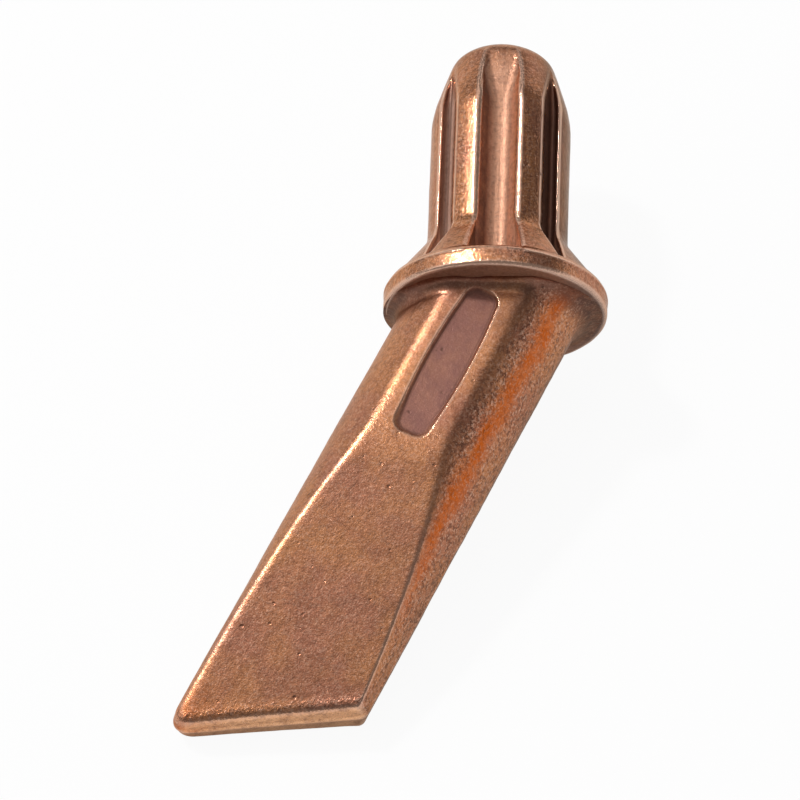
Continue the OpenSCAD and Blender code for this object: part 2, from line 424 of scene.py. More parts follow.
# Columns in each stretch of a quarter of the ribbed section, from the side of the shank to its front or back
# Two of the stretches are arcs, and the marks are the columns where a stretch begins
QUARTER = (34, 12, 6, 14, 18, 26, 24, 10)
ARCS = (0, 5)
MARKS = np.concatenate([[0], np.cumsum(QUARTER)])
SIDE_END, RIB_START, RIB_END, QUARTER_END = MARKS[[3, 4, 7, 8]].tolist()
SLOT_MOUTH = slice(MARKS[1], MARKS[5] + 1)
GROOVE_MOUTH = slice(MARKS[6], MARKS[8] + 1)
EVEN_ANGLES = np.arange(QUARTER_END + 1) / QUARTER_END * (math.pi / 2)

# Rows of the shank from the nose to the collar's underside
NOSE_ROWS, TAPER_ROWS, RIB_ROWS, FOOT_ROWS = 30, 30, 64, 48
RIM_ROWS, SIDE_ROWS, UNDER_ROWS = 10, 18, 12

# Angle of the nose's first row from the axis, and the radii at which its columns are even and ribbed
POLE_ANGLE = 0.03
EVEN_R = 6.5
RIBBED_R = 9.0


def on_circle(angle):
    """Points of the unit circle at these angles."""
    return np.stack([np.cos(angle), np.sin(angle)], -1)


def quarter_outline(radius):
    """A quarter of the sharp section for each outer radius: (rows, columns, 2).
    Corners joined in turn: arc over the side rib, side wall, slot floor, outer wall to the floor's level,
    rest of the outer wall, arc over the front rib, inner wall, half of the groove floor."""
    rib_wall = (GROOVE_FLOOR - SLOT_FLOOR) / UP_OUT[1]
    root = (groove_half(radius), GROOVE_FLOOR)
    slot_out = np.maximum(slot_side(radius), SLOT_IN)
    foot = np.stack([radius * math.sin(FOOT_SPREAD), radius * math.cos(FOOT_SPREAD)], -1)
    flared = (radius > SHANK_R)[:, None]
    corners = [
        np.stack([radius, radius * 0], -1),
        wall_edge((slot_out, SLOT_FLOOR), UP_IN, radius),
        np.stack([slot_out, radius * 0 + SLOT_FLOOR], -1),
        np.broadcast_to(SLOT_ROOT, radius.shape + (2,)),
        wall_edge(SLOT_ROOT, UP_OUT, radius, rib_wall),
        np.where(flared, foot, wall_edge(SLOT_ROOT, UP_OUT, radius)),
        np.where(flared, wall_edge(INNER_EDGE, UP_IN, radius), wall_edge(root, UP_GROOVE, radius)),
        np.stack([root[0], radius * 0 + GROOVE_FLOOR], -1),
        np.broadcast_to((0, GROOVE_FLOOR), radius.shape + (2,)),
    ]
    stretches = []
    for number, count in enumerate(QUARTER):
        t = eased(count)[None, :, None]
        start, end = corners[number][:, None], corners[number + 1][:, None]
        if number in ARCS:
            turn_from = np.arctan2(start[..., 1], start[..., 0])
            turn_to = np.arctan2(end[..., 1], end[..., 0])
            angle = turn_from + (turn_to - turn_from) * t[..., 0]
            stretches.append(radius[:, None, None] * on_circle(angle))
        else:
            stretches.append(start + (end - start) * t)
    stretches.append(corners[-1][:, None])
    loop = np.concatenate(stretches, 1)
    reach = np.linalg.norm(loop, axis=-1, keepdims=True)
    return loop * np.minimum(1, radius[:, None, None] / reach)


def mirrored_quarters(quarter):
    """Values of a quarter's columns repeated round the loop, forwards and backwards in turn."""
    forward, back = quarter[:, :-1], quarter[:, :0:-1]
    return [forward, back, forward, back]


def all_round(quarter):
    """The four mirrored quarters as one loop, anticlockwise from the right-hand side."""
    signs = [(1, 1), (-1, 1), (-1, -1), (1, -1)]
    return np.concatenate([part * np.array(sign) for part, sign in zip(mirrored_quarters(quarter), signs)], 1)


def with_height(loop, z):
    """Loops in the plane with a height for each row or point."""
    return np.concatenate([loop, np.broadcast_to(z, loop.shape[:2])[..., None]], -1)


def turned_to(loop, angles, share):
    """Loops with each point turned about the axis, by share of the way to the given angles."""
    own = np.arctan2(loop[..., 1], loop[..., 0])
    return np.linalg.norm(loop, axis=-1)[..., None] * on_circle(own + (angles - own) * share)


def nose_and_ribs():
    """Rows of the nose, taper and ribs.
    The nose's rows shrink to the axis on an ellipse. Below them the section follows the outline's radius."""
    polar = np.linspace(POLE_ANGLE, math.asin(CAP_R / DOME_R), NOSE_ROWS)
    taper_z = np.linspace(CAP_BASE, RIB_TOP, TAPER_ROWS + 1)[1:]
    taper_r = CAP_R + (SHANK_R - CAP_R) * (CAP_BASE - taper_z) / (CAP_BASE - RIB_TOP)
    rib_z = np.linspace(RIB_TOP, FLARE_TOP, RIB_ROWS + 1)[1:]
    z = np.concatenate([DOME_CENTRE + DOME_H * np.cos(polar), taper_z, rib_z])
    radius = np.concatenate([DOME_R * np.sin(polar), taper_r, np.full(RIB_ROWS, SHANK_R)])
    share = smooth(ramp(radius, RIBBED_R, EVEN_R))
    loops = turned_to(quarter_outline(radius), EVEN_ANGLES, share[:, None])
    return with_height(all_round(loops), z[:, None])


def mouth_angles(foot):
    """Angles of the columns at the flare's edge, even across the mouths of the slot and of the groove."""
    mouth = np.arctan2(foot[0, :, 1], foot[0, :, 0])
    for gap in (SLOT_MOUTH, GROOVE_MOUTH):
        mouth[gap] = np.linspace(mouth[gap][0], mouth[gap][-1], gap.stop - gap.start)
    return mouth


def feet(foot, mouth):
    """Rows of the feet: each column runs down its foot, then out over the rim to the flare's edge."""
    top = quarter_outline(np.array([SHANK_R]))
    rim_edge = FLARE_R * on_circle(mouth)[None]
    down = np.hypot(np.linalg.norm(foot - top, axis=-1), FLARE_TOP - RIM_H)
    out = np.linalg.norm(rim_edge - foot, axis=-1)
    travel = np.linspace(0, 1, FOOT_ROWS + 1)[1:, None] * (down + out)
    fall = np.minimum(travel / down, 1)
    spread = np.clip((travel - down) / np.maximum(out, TINY), 0, 1)
    loops = top + (foot - top) * fall[..., None] + (rim_edge - foot) * spread[..., None]
    heights = FLARE_TOP - (FLARE_TOP - RIM_H) * fall
    return with_height(all_round(loops), np.concatenate(mirrored_quarters(heights), 1))


def rim(mouth):
    """Rows of the rim: out over its top, down its side and in under the collar.
    On the way the columns turn from the mouths' angles to even ones."""
    radius = np.concatenate([
        np.linspace(FLARE_R, RIM_R, RIM_ROWS + 1)[1:],
        np.full(SIDE_ROWS, RIM_R),
        np.linspace(RIM_R, CAP_R, UNDER_ROWS + 1)[1:],
    ])
    z = np.concatenate([
        np.full(RIM_ROWS, RIM_H),
        np.linspace(RIM_H, 0, SIDE_ROWS + 1)[1:],
        np.zeros(UNDER_ROWS),
    ])
    share = np.clip(np.arange(1, radius.size + 1) / (RIM_ROWS + SIDE_ROWS), 0, 1)[:, None]
    loops = radius[:, None, None] * on_circle(mouth + (EVEN_ANGLES - mouth) * share)
    return with_height(all_round(loops), z[:, None])


def shank_rows():
    """The sharp shank and collar, row by row from the nose to the collar's underside."""
    foot = quarter_outline(np.array([FLARE_R]))
    mouth = mouth_angles(foot)
    return np.concatenate([nose_and_ribs(), feet(foot, mouth), rim(mouth)])


# Columns round the body and rows along it, from the collar to the middle of the working face
BODY_COLUMNS = 470
SKIRT_ROWS, BODY_ROWS, BLADE_ROWS, END_ROWS, FACE_ROWS = 10, 174, 170, 26, 26
FACE_CLOSE = 0.985

# Steps between columns: at the panel's walls, over the front flat, and elsewhere
WALL_STEP, FLAT_STEP, ROUND_STEP = 0.07, 0.13, 0.21
FLAT_SINE = 0.8
ANGLE_SAMPLES = 20001


def body_angles():
    """Angles of the columns round the body, close over the front flat and closest at the panel's walls.
    The steps are summed round the circle, and the sum is divided evenly."""
    angle = np.linspace(0, 2 * math.pi, ANGLE_SAMPLES)
    across = BODY_R * np.cos(angle)
    front = np.sin(angle) < -FLAT_SINE
    wall = np.abs(np.abs(across) - PANEL_W / 2 - PANEL_BOW / 2) < PANEL_BOW
    step = np.where(front, np.where(wall, WALL_STEP, FLAT_STEP), ROUND_STEP)
    passed = np.concatenate([[0], np.cumsum(1 / step[:-1])])
    return np.interp(np.arange(BODY_COLUMNS) / BODY_COLUMNS, passed / passed[-1], angle)


def body_rows():
    """The sharp body and blade, row by row from the collar's underside to the working face.
    Each row is a circle clipped at the flats.
    Its plane tilts from the collar's to the bend's, then to the working face's.
    The first rows lie in the collar's plane and draw in to the bar; the last shrink over the working face."""
    angle = body_angles()[::-1]
    c, s = np.cos(angle), np.sin(angle)

    def section(radius, z, grow=0.0):
        limit = flat_half(radius * c, z) + grow
        return np.stack([radius * c, np.clip(radius * s, -limit, limit), z], -1)

    x = BODY_R * c
    bend_z = BLADE_START + x * BEND_RUN
    tip_z = TIP_AT + x * FACE_RUN
    waist_z = tip_z - TIP_H / math.cos(FACE_SLANT)
    rows = []
    for share in np.linspace(1, 0, SKIRT_ROWS, endpoint=False):
        grow = skirt(c, s) * share
        rows.append(section(BODY_R + grow, collar_plane((BODY_R + grow) * c), grow))
    spans = [
        (collar_plane(x), bend_z, BODY_ROWS),
        (bend_z, waist_z, BLADE_ROWS),
        (waist_z, tip_z, END_ROWS),
    ]
    for start, end, count in spans:
        for t in np.arange(count) / count:
            z = start + (end - start) * t
            rows.append(section(BODY_R + BODY_SWELL * z, z))
    edge = section(BODY_R + BODY_SWELL * tip_z, tip_z)
    middle = np.array([0, 0, TIP_AT])
    for t in np.linspace(0, FACE_CLOSE, FACE_ROWS):
        rows.append(edge + (middle - edge) * t)
    return np.stack(rows)


# Unevenness of the hammered and tumbled surface

# Layers of lumps: their size and height in millimetres, and where their noise starts
DENTS = (7.0, 0.05, 11.3)
RIPPLES = (2.4, 0.022, 5.1)
SPECKS = (0.9, 0.024, 0.0)

# The noise's cells lie askew to the forging, and primes mix their places into values
SKEW = np.array(Euler((0.6, 0.9, 0.3)).to_matrix())
CELL_PRIMES = (374761393, 668265263, 2147483647)
MIXING_PRIME = 1274126177

# Distances over which normals and bends are measured
PUSH_STEP = 0.02
NORMAL_STEP = 0.04
BEND_STEP = 0.05
BEND_REACH = 0.3


def lattice(cell):
    """A fixed pseudo-random value from 0 to 1 for each whole-numbered cell.
    Its three numbers are multiplied by primes and added, and the bits of the sum are mixed."""
    mixed = sum(cell[..., axis] * prime for axis, prime in enumerate(CELL_PRIMES))
    mixed = (mixed ^ (mixed >> 13)) * MIXING_PRIME & 0x7FFFFFFF
    return ((mixed ^ (mixed >> 16)) & 0xFFFF) / 0xFFFF


def lumps(p, size):
    """Smooth noise from -1 to 1 with lumps of about that size.
    The values of eight skewed cells are blended by smooth steps."""
    q = p @ SKEW / size
    cell = np.floor(q).astype(np.int64)
    t = smooth(q - cell)
    total = 0
    for corner in np.ndindex(2, 2, 2):
        weight = np.prod(np.where(np.array(corner) == 1, t, 1 - t), -1)
        total = total + weight * lattice(cell + np.array(corner))
    return 2 * total - 1


def layer(p, size, height, start):
    """Height of one layer of lumps."""
    return height * lumps(p + start, size)


def uneven(p, coarse):
    """Height of the forged surface over its ideal form, with more specks where it is coarse."""
    return layer(p, *DENTS) + layer(p, *RIPPLES) + coarse * layer(p, *SPECKS)


def forged(solid, p, coarse):
    """Points on a solid made uneven, with their normals and the bend of the surface.
    The bend is the divergence of the normals, above zero on edges and below zero in corners."""

    def rough(q):
        return solid(q) - uneven(q, coarse)

    p = p + unit(steepest(solid, p, PUSH_STEP)) * uneven(p, coarse)[..., None]
    normal = unit(steepest(rough, p, NORMAL_STEP))
    bend = 0
    for axis in np.eye(3) * BEND_REACH:
        turn = unit(steepest(solid, p + axis, BEND_STEP)) - unit(steepest(solid, p - axis, BEND_STEP))
        bend = bend + turn @ axis / (2 * BEND_REACH ** 2)
    return {"place": p, "normal": normal, "bend": bend, "coarse": coarse}


# Finish: places in millimetres or in degrees round from the front, and shares from 0 to 1
# A pair gives where a share leaves 0 and where it reaches 1

# Shank and collar
SHANK_COARSE = 0.4
GROOVE_SKIN = (0.3, 1.5)
SKIN_FROM = RIM_H - 0.2
# Painted light: the slots left of this are made paler
PALE_SIDE = -5.11
STREAKS = 0.55
ABOVE_RIM = (RIM_H, RIM_H + 1)
BELOW_NOSE = (CAP_BASE, CAP_BASE - 5)
RIM_BENEATH = (0.3, 0.05)
# Painted shade under the rim, on the nose's top, on the right side of the shank and on walls that face right
RIM_SOOT = 0.3
NOSE_TARNISH = 0.35
NOSE_SKIN = (CAP_BASE - 2, CAP_BASE + 1)
SOOT_SIDE = 105
SOOT_HALF = 43
SOOT_FADE = 5
SOOT_WALL = 0.85
WALL_FACING = (0.45, 0.8)

# Body and blade
BODY_COARSE = 0.2
ROUND_COARSE = 0.2
FLANK_COARSE = 0.6
CREASE_COARSE = 0.5
CREASE_AT = 1.2
CREASE_WIDTH = 0.9
CREASE_FRONT = -1
OFF_FLAT = (0, 1.5)
FLANK_AT = 10
FLANK_FADE = 6
# Reach of the filed working face, which is also painted brighter as painted light
FRESH_SKIN = (0.6, 0)
# Painted shade under the collar, in a band beside the front flat and on the low back side
UNDER_COLLAR = (2.64, 0.44)
UNDER_SOOT = 0.6
SMEAR = 0.7
SMEAR_AT = 27
SMEAR_WIDTH = 11
SMEAR_ALONG = (9.1, 2.1)
LOW_SIDE = 0.6
LOW_SIDE_IN = (0, 0.6)
LOW_SIDE_OUT = (8, 4)

# Painted orange reflection along the right flank, with a fainter painted reflection beside it and a painted
# orange glow at the toe
# The band drifts and swells by layers of lumps
WARM_AT = 54
WARM_WIDTH = 9.5
WARM_DRIFT = (6.0, 5, 0.0)
WARM_SWELL = (4.0, 0.4, 3.7)
FLUSH = 0.12
FLUSH_AT = WARM_AT + 16
FLUSH_WIDTH = 18
WARM_TOE = 0.5
TOE_REACH = 6


def sideways(p):
    """0 at the front and back of the forging and 1 at its sides."""
    return p[..., 0] ** 2 / (p[..., 0] ** 2 + p[..., 1] ** 2)


def shank_finish(points):
    """The forged surface of the shank and collar, with its shares of each finish.
    Dull skin lies in the grooves and beneath the rim, painted paler in the slots on the left as painted
    light.
    Painted shade lies on the right side, on walls that face right, beneath the rim and thinly on the nose."""
    x, y, z = points[..., 0], points[..., 1], points[..., 2]
    surface = forged(shank_and_collar, points, np.full(x.shape, SHANK_COARSE))
    grooves = ramp(-turned_outline(np.hypot(x, y), z), *GROOVE_SKIN) * (z > SKIN_FROM)
    beneath = ramp(z, *RIM_BENEATH)
    above_rim = ramp(z, *ABOVE_RIM)
    around = np.degrees(np.arctan2(x, -y))
    # Painted shade on the right side, on walls that face right, under the rim and thinly on the nose
    right_side = above_rim * ramp(z, *BELOW_NOSE) * switch(SOOT_HALF - np.abs(around - SOOT_SIDE), SOOT_FADE)
    right_wall = above_rim * SOOT_WALL * ramp(surface["normal"][..., 0], *WALL_FACING)
    underside = beneath * (RIM_SOOT + (1 - RIM_SOOT) * sideways(points))
    nose = NOSE_TARNISH * ramp(z, *NOSE_SKIN)
    surface["shelter"] = np.maximum(grooves, beneath)
    # Painted light: the slots on the left are paler
    surface["pickled"] = grooves * (x < PALE_SIDE)
    surface["streaks"] = STREAKS * above_rim
    surface["tarnish"] = np.max([right_side, right_wall, underside, nose], axis=0)
    surface["warm"] = np.zeros(x.shape)
    surface["fresh"] = np.zeros(x.shape)
    return surface


def body_finish(points):
    """The forged surface of the body and blade with the panel sunk in, and its shares of each finish.
    The working face is filed and painted brighter as painted light, the panel dull, the right flank coarse
    and the crease beside the face too.
    A painted orange reflection wanders along the right flank, with a painted orange glow at the toe.
    Painted shade lies under the collar, in a band beside the panel and on the low side."""
    x, y, z = points[..., 0], points[..., 1], points[..., 2]
    share = np.where(y < 0, panel_share(x, z), 0)
    from_collar = below_collar(x, z)
    around = np.degrees(np.arctan2(-x, -y))
    past_face = TIP_AT + x * FACE_RUN - z
    # Filed working face, painted brighter as painted light
    fresh = ramp(past_face, *FRESH_SKIN)
    off_flat = ramp(flat_half(x, z) - np.abs(y), *OFF_FLAT) * (1 - fresh)
    # Painted shade on the low back side
    low_side = LOW_SIDE * ramp(y, *LOW_SIDE_IN) * ramp(y, *LOW_SIDE_OUT)

    sunk = np.stack([x, y + share * (PANEL_DEPTH - FLAT_D - y), z], -1)
    flank = switch(around - FLANK_AT, FLANK_FADE)
    crease = hump(past_face, CREASE_AT, CREASE_WIDTH) * (sunk[..., 1] < CREASE_FRONT)
    coarse = BODY_COARSE + off_flat * (ROUND_COARSE + FLANK_COARSE * flank) + CREASE_COARSE * crease
    surface = forged(body_with_panel, sunk, coarse)

    # Painted orange reflection along the right flank and a painted orange glow at the toe
    wander = (around - WARM_AT + layer(sunk, *WARM_DRIFT)) / (WARM_WIDTH * (1 + layer(sunk, *WARM_SWELL)))
    flush = FLUSH * hump(around, FLUSH_AT, FLUSH_WIDTH)
    from_toe = np.hypot(x - BODY_R, z - TIP_AT - BODY_R * FACE_RUN)
    band = np.maximum(hump(wander, 0, 1), flush) * off_flat
    # Painted shade under the collar and in a band beside the panel
    underside = ramp(from_collar, *UNDER_COLLAR) * (UNDER_SOOT + (1 - UNDER_SOOT) * sideways(sunk))
    smear = SMEAR * hump(around, SMEAR_AT, SMEAR_WIDTH) * ramp(from_collar, *SMEAR_ALONG)
    surface["shelter"] = share
    surface["pickled"] = np.zeros(x.shape)
    surface["streaks"] = np.zeros(x.shape)
    surface["tarnish"] = np.max([underside, smear, low_side], axis=0)
    surface["warm"] = band + WARM_TOE * hump(from_toe, 0, TOE_REACH)
    surface["fresh"] = fresh
    return surface


# Making the pieces

def closed_tube(name, surface, rows, columns, put_upright):
    """A closed mesh from a block of the surface's rows and columns.
    The columns form a ring: where two of them aren't neighbours a flat strip bridges them.
    The first and the last row are closed by flat faces.
    Faces run along the rows first, so they point outwards."""
    block = {key: values[rows][:, columns] for key, values in surface.items()}
    points, normals = block.pop("place"), block.pop("normal")
    height, width = points.shape[:2]
    at = np.arange(height * width).reshape(height, width)
    beside = np.roll(at, -1, axis=1)
    quads = np.stack([at[:-1], at[1:], beside[1:], beside[:-1]], -1)
    neighbours = (np.roll(columns, -1) - columns) % surface["place"].shape[1] == 1
    rounded = np.concatenate([np.tile(neighbours, height - 1), [False, False]])
    loops = np.concatenate([quads.ravel(), at[0], at[-1, ::-1]])
    sides = np.concatenate([np.full(quads.size // 4, 4), [width, width]])
    place = lay_down(put_upright(points.reshape(-1, 3)))
    direction = (put_upright(normals.reshape(-1, 3)) - put_upright(np.zeros(3))) @ TURN.T

    mesh = bpy.data.meshes.new(name)
    mesh.vertices.add(len(place))
    mesh.vertices.foreach_set("co", place.astype(np.float32).ravel())
    mesh.loops.add(len(loops))
    mesh.loops.foreach_set("vertex_index", loops.astype(np.int32))
    mesh.polygons.add(len(sides))
    mesh.polygons.foreach_set("loop_start", (np.cumsum(sides) - sides).astype(np.int32))
    mesh.update(calc_edges=True)
    mesh.polygons.foreach_set("use_smooth", rounded)

    faces = np.zeros((len(sides), 3), np.float32)
    mesh.polygons.foreach_get("normal", faces.ravel())
    hidden = np.repeat(~rounded, sides)
    corner = direction[loops]
    corner[hidden] = np.repeat(faces, sides, axis=0)[hidden]
    mesh.normals_split_custom_set(corner.astype(np.float32))
    own_place = mesh.attributes.new("place", "FLOAT_VECTOR", "POINT")
    own_place.data.foreach_set("vector", points.astype(np.float32).ravel())
    for key, values in block.items():
        share = mesh.attributes.new(key, "FLOAT", "POINT")
        share.data.foreach_set("value", values.astype(np.float32).ravel())

    piece = bpy.data.objects.new(name, mesh)
    bpy.context.scene.collection.objects.link(piece)
    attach(piece, "root")
    return piece


def shank_blocks(total):
    """Node, rows and columns of each piece of the shank, out of all its columns.
    A rib and its foot take the columns of one lobe.
    The core takes those between the lobes, and the lobes' edges."""
    rib_from = NOSE_ROWS - 1
    foot_from = rib_from + TAPER_ROWS + RIB_ROWS
    rim_from = foot_from + FOOT_ROWS
    half = 2 * QUARTER_END
    lobes = {"right": (-SIDE_END, SIDE_END), "left": (half - SIDE_END, half + SIDE_END)}
    for turn, name in enumerate(["back_right", "back_left", "front_left", "front_right"]):
        first, last = RIB_START, RIB_END
        if turn % 2 == 1:
            first, last = QUARTER_END - RIB_END, QUARTER_END - RIB_START
        lobes[name] = (turn * QUARTER_END + first, turn * QUARTER_END + last)

    everything = np.arange(total)
    between = np.ones(total, bool)
    blocks = [
        ("nose_cap", slice(0, rib_from + 1), everything),
        ("collar", slice(rim_from, None), everything),
    ]
    for name, (first, last) in lobes.items():
        columns = np.arange(first, last + 1) % total
        between[columns[1:-1]] = False
        blocks.append((name + "_rib", slice(rib_from, foot_from + 1), columns))
        blocks.append((name + "_foot", slice(foot_from, rim_from + 1), columns))
    blocks.append(("shank_core", slice(rib_from, rim_from + 1), everything[between]))
    return blocks


def make_shank(material):
    """Nose cap, core, six ribs, six feet and collar, cut from one surface so that no seam shows."""
    surface = shank_finish(settle(shank_and_collar, shank_rows()))
    for node, rows, columns in shank_blocks(surface["place"].shape[1]):
        piece = closed_tube("copper_" + node, surface, rows, columns, upright)
        piece.data.materials.append(material)
        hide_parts(node)


def make_body(material):
    """Body with its bare panel, blade and working end, cut from one surface."""
    surface = body_finish(settle(body_and_blade, body_rows()))
    blade_from = SKIRT_ROWS + BODY_ROWS
    end_from = blade_from + BLADE_ROWS
    blocks = [
        ("body", slice(0, blade_from + 1)),
        ("blade", slice(blade_from, end_from + 1)),
        ("working_end", slice(end_from, None)),
    ]
    for node, rows in blocks:
        piece = closed_tube("copper_" + node, surface, rows, np.arange(BODY_COLUMNS), from_body_axis)
        piece.data.materials.append(material)
        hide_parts(node)


# Materials

class Wire:
    """An output of a material's node, with arithmetic that adds Math nodes."""

    def __init__(self, recipe, socket):
        self.recipe = recipe
        self.socket = socket

    def maths(self, operation, first, second):
        return self.recipe.node("ShaderNodeMath", {"operation": operation}, first, second)

    def __add__(self, other):
        return self.maths("ADD", self, other)

    def __radd__(self, other):
        return self.maths("ADD", other, self)

    def __sub__(self, other):
        return self.maths("SUBTRACT", self, other)

    def __rsub__(self, other):
        return self.maths("SUBTRACT", other, self)

    def __mul__(self, other):
        return self.maths("MULTIPLY", self, other)

    def __rmul__(self, other):
        return self.maths("MULTIPLY", other, self)

    def clamped(self):
        """The value kept between 0 and 1."""
        return self.recipe.node("ShaderNodeClamp", {}, self, 0.0, 1.0)

    def step(self, low, high):
        """0 below low, 1 above high, and smooth between."""
        settings = {"interpolation_type": "SMOOTHSTEP"}
        return self.recipe.node("ShaderNodeMapRange", settings, self, low, high, 0.0, 1.0)


class Recipe:
    """A material being put together."""

    def __init__(self, name):
        self.material = bpy.data.materials.new(name)
        self.material.use_nodes = True
        self.tree = self.material.node_tree
        self.tree.nodes.clear()

    def node(self, kind, settings, *values, output=0, at=(), **named):
        """Adds a node and sets its settings, then fills its sockets in order, at their numbers and by name.
        Returns one of its outputs, if it has any."""
        made = self.tree.nodes.new(kind)
        for key, value in settings.items():
            setattr(made, key, value)
        by_name = [(key.replace("_", " "), value) for key, value in named.items()]
        for key, value in [*enumerate(values), *at, *by_name]:
            if isinstance(value, Wire):
                self.tree.links.new(value.socket, made.inputs[key])
            else:
                made.inputs[key].default_value = value
        return Wire(self, made.outputs[output]) if made.outputs else None

    def carried(self, key, output="Fac"):
        """A value that the pieces carry at their points."""
        return self.node("ShaderNodeAttribute", {"attribute_name": key}, output=output)

    def noise(self, place, scale, detail, roughness):
        """Layered noise from 0 to 1, with about so many lumps to the millimetre."""
        sockets = {"Vector": place, "Scale": scale, "Detail": detail, "Roughness": roughness}
        return self.node("ShaderNodeTexNoise", {}, **sockets)

    def blend(self, share, first, second):
        """A colour that goes from first to second as share goes from 0 to 1."""
        settings = {"data_type": "RGBA", "clamp_factor": True}
        return self.node("ShaderNodeMix", settings, share, output=2, at=[(6, first), (7, second)])

    def surface(self, shader):
        """The finished material."""
        self.node("ShaderNodeOutputMaterial", {}, Surface=shader)
        return self.material


# Colours of the copper, its worn and filed places and its skins, and of its painted light and shade
TAN = (0.56, 0.240, 0.110, 1)
ROSE = (0.46, 0.190, 0.115, 1)
BROWN = (0.29, 0.115, 0.058, 1)
DULL = (0.13, 0.058, 0.042, 1)
# Tone of the painted shade
DUSKY = (0.10, 0.055, 0.046, 1)
# Colour of the painted orange reflection
ORANGE = (0.58, 0.125, 0.018, 1)
BRIGHT = (0.76, 0.45, 0.32, 1)
# Worn edges, lightened also to stand in for whiter highlights
WORN = (0.92, 0.64, 0.50, 1)
# Tone of the painted light in the left slots
PALE = (0.88, 0.58, 0.45, 1)
# Filed working face, brightened as painted light
FILED = (0.95, 0.52, 0.28, 1)
GROOVE_DULL = (0.62, 0.32, 0.205, 1)
PANEL_DULL = (0.25, 0.112, 0.095, 1)
SHEEN = (0.93, 0.78, 0.66, 1)

# Die streaks are drawn out along the forging by this scale
DRAWN_OUT = (1.0, 1.0, 0.07)
BUMP_HEIGHT = 0.00025


def forged_copper(name, base_rough, grime, wear, calm, sheltered):
    """Drop-forged copper, tumbled clean: patches, grain, pits, die streaks, bright worn edges that also stand
    in for whiter highlights, and painted shade in the corners.
    Sheltered places keep a dull skin and lose a calm share of the flecks.
    A painted orange reflection lies where its share is, and painted shade where the shade share is."""
    r = Recipe(name)
    place = r.carried("place", "Vector")
    bend, coarse, fresh = r.carried("bend"), r.carried("coarse"), r.carried("fresh")
    shelter, pickled, streaks = r.carried("shelter"), r.carried("pickled"), r.carried("streaks")
    warm, tarnish = r.carried("warm"), r.carried("tarnish")
    drawn = r.node("ShaderNodeVectorMath", {"operation": "MULTIPLY"}, place, DRAWN_OUT)
    patches = r.noise(place, 0.09, 3.0, 0.6)
    mottle = r.noise(place, 0.45, 4.0, 0.65)
    grain = r.noise(place, 1.4, 3.0, 0.65)
    dust = r.noise(place, 2.3, 3.0, 0.65)
    powder = r.noise(place, 4.5, 1.0, 0.5)
    lines = r.noise(drawn, 1.6, 3.0, 0.6)
    cells = r.node("ShaderNodeTexVoronoi", {}, Vector=place, Scale=0.55)
    edge = bend.step(0.25, 1.5)
    hollow = (0 - bend).step(0.15, 1.4)
    pit = (1 - cells.step(0.06, 0.2)) * mottle.step(0.52, 0.62)
    flecked = (0.15 + coarse * 0.85) * (1 - warm * 0.7).clamped()
    flecked = flecked * (1 - shelter * calm) * (1 - tarnish * 0.8)

    # Share and colour of each coat, from the first that is laid on to the last
    coats = [
        # Filed working face, painted brighter as painted light
        (fresh, FILED),
        (mottle.step(0.46, 0.74) * 0.6, BROWN),
        (lines.step(0.50, 0.70) * streaks, BROWN),
        (powder.step(0.52, 0.68) * 0.35, BROWN),
        ((1 - powder.step(0.34, 0.44)) * 0.35, BRIGHT),
        # Painted orange reflection
        ((warm * (0.1 + mottle * 1.6)).clamped(), ORANGE),
        (shelter * (0.55 + mottle * 0.6), sheltered),
        # Painted shade
        (tarnish * (0.45 + mottle).clamped(), DUSKY),
        # Painted light in the left slots
        (pickled * (0.6 + mottle * 0.6), PALE),
        (grain.step(0.48, 0.60) * flecked * 0.75, DULL),
        (dust.step(0.53, 0.61) * flecked * 0.75, BRIGHT),
        (pit * 0.5, DULL),
        # Painted shade in corners and creases
        (hollow * grime, DULL),
        # Bright worn edges, also a painted highlight
        (edge * wear, WORN),
    ]
    colour = r.blend(patches.step(0.38, 0.66), TAN, ROSE)
    for share, coat in coats:
        colour = r.blend(share, colour, coat)

    metal = 1 - shelter * 0.4 - pickled * 0.4
    rough = base_rough + (mottle - 0.5) * 0.2 + (dust - 0.5) * 0.15
    rough = rough + shelter * 0.2 - edge * 0.12 + hollow * 0.1 - fresh * 0.08
    relief = mottle * 0.3 + (grain + dust * 0.5) * coarse + powder * 0.12 + lines * streaks * 0.4 - pit * 0.4
    bump = r.node("ShaderNodeBump", {}, Strength=0.7, Distance=BUMP_HEIGHT, Height=relief)
    shader = r.node(
        "ShaderNodeBsdfPrincipled", {}, Base_Color=colour, Metallic=metal, Roughness=rough.clamped(),
        Normal=bump, Specular_Tint=SHEEN,
    )
    return r.surface(shader)


def pale_floor():
    """Matt studio paper that takes the shadow and looks nearly white.
    In the metal it is whitest further off."""
    r = Recipe("studio_paper")
    paper = r.node("ShaderNodeBsdfDiffuse", {}, Color=(0.9, 0.9, 0.9, 1))
    white = r.node("ShaderNodeEmission", {}, Color=(1, 1, 1, 1), Strength=1.0)
    seen = r.node("ShaderNodeLightPath", {}, output="Is Camera Ray")
    mirrored = r.node("ShaderNodeLightPath", {}, output="Is Glossy Ray")
    passed = r.node("ShaderNodeLightPath", {}, output="Is Transmission Ray")
    place = r.node("ShaderNodeTexCoord", {}, output="Object")
    away = r.node("ShaderNodeVectorMath", {"operation": "LENGTH"}, place, output="Value")
    share = seen * 0.94 + (mirrored + passed) * (0.45 + away.step(0.05, 0.4) * 0.35)
    return r.surface(r.node("ShaderNodeMixShader", {}, share, paper, white))


# Studio, in metres and watts

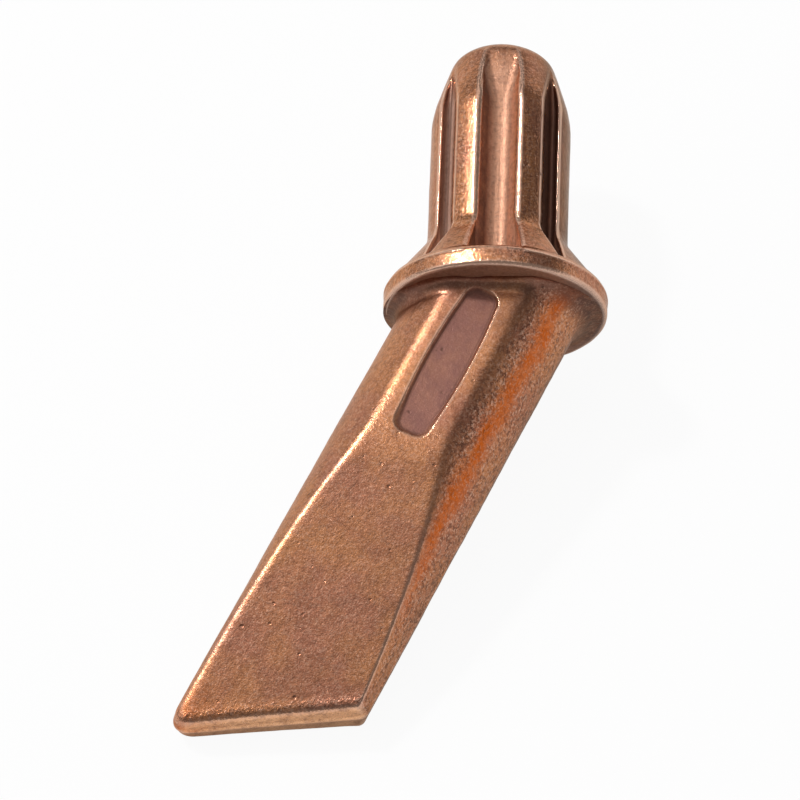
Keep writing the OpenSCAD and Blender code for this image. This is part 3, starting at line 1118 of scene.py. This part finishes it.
KEY_LAMP = {"place": (-0.54, 0.31, 0.91), "size": (0.13, 0.13), "power": 5.0, "shape": "ELLIPSE"}
TOP_LAMP = {"place": (-0.25, 0.39, 1.17), "size": (1.5, 1.4), "power": 4.3, "shape": "RECTANGLE"}
SIDE_LAMP = {"place": (-0.97, 0.12, 0.75), "size": (1.2, 0.9), "power": 2.4, "shape": "RECTANGLE"}
LAMP_AIM = (0, 0, 0.015)
ROOM_LIGHT = 0.26


def make_floor():
    """A wide sheet of paper under the forging, turned up a little at the right and at the back."""
    near, far, right_up, back_up = -3.0, 1.3, 0.45, 0.6
    corners = [
        (near, near, 0), (far, near, 0), (far, far, 0), (near, far, 0),
        (far, near, right_up), (far, far, right_up), (far, far, back_up), (near, far, back_up),
    ]
    mesh = bpy.data.meshes.new("floor")
    mesh.from_pydata(corners, [], [(0, 1, 2, 3), (1, 4, 5, 2), (2, 6, 7, 3)])
    floor = bpy.data.objects.new("floor", mesh)
    floor.data.materials.append(pale_floor())
    bpy.context.scene.collection.objects.link(floor)


def soft_light(name, place, size, power, shape):
    """An area lamp at a place, turned towards the forging."""
    lamp = bpy.data.lights.new(name, "AREA")
    lamp.shape = shape
    lamp.size, lamp.size_y = size
    lamp.energy = power
    made = bpy.data.objects.new(name, lamp)
    made.location = place
    made.rotation_euler = (Vector(LAMP_AIM) - Vector(place)).to_track_quat("-Z", "Y").to_euler()
    bpy.context.scene.collection.objects.link(made)


def make_light():
    """A small round lamp for the glints, two wide soft ones overhead and on the left, and a dim even room."""
    soft_light("key_lamp", **KEY_LAMP)
    soft_light("top_lamp", **TOP_LAMP)
    soft_light("side_lamp", **SIDE_LAMP)
    world = bpy.data.worlds.new("room")
    world.use_nodes = True
    background = world.node_tree.nodes["Background"]
    background.inputs["Color"].default_value = (1, 1, 1, 1)
    background.inputs["Strength"].default_value = ROOM_LIGHT
    bpy.context.scene.world = world


def make_camera():
    """The photograph's view: azimuth, elevation and roll about a point near the middle of the forging."""
    azimuth, elevation, roll = math.radians(3.731), math.radians(52.924), math.radians(-1.608)
    distance, lens, sensor = 0.634, 199.21, 36
    middle, to_right, to_top = Vector((0, 0, 0.016)), -0.000176, -0.003955
    nearest, farthest = 0.01, 20
    back = Vector((
        math.sin(azimuth) * math.cos(elevation),
        -math.cos(azimuth) * math.cos(elevation),
        math.sin(elevation),
    ))
    up = (Vector((0, 0, 1)) - back * back.z).normalized()
    right = up.cross(back)
    aim = middle + right * to_right + up * to_top
    across = right * math.cos(roll) + up * math.sin(roll)
    above = up * math.cos(roll) - right * math.sin(roll)
    camera = bpy.data.objects.new("camera", bpy.data.cameras.new("camera"))
    camera.data.sensor_width = sensor
    camera.data.lens = lens
    camera.data.clip_start, camera.data.clip_end = nearest, farthest
    turn = Matrix((across, above, back)).transposed().to_4x4()
    camera.matrix_world = Matrix.Translation(aim + back * distance) @ turn
    bpy.context.scene.collection.objects.link(camera)
    bpy.context.scene.camera = camera


bpy.context.scene.view_settings.view_transform = "Standard"
make_camera()
make_floor()
make_light()
make_shank(forged_copper(
    "shank_copper", base_rough=0.22, grime=0.7, wear=0.5, calm=0.2, sheltered=GROOVE_DULL
))
make_body(forged_copper(
    "blade_copper", base_rough=0.33, grime=0.25, wear=0.3, calm=0.7, sheltered=PANEL_DULL
))

bpy.context.view_layer.update()
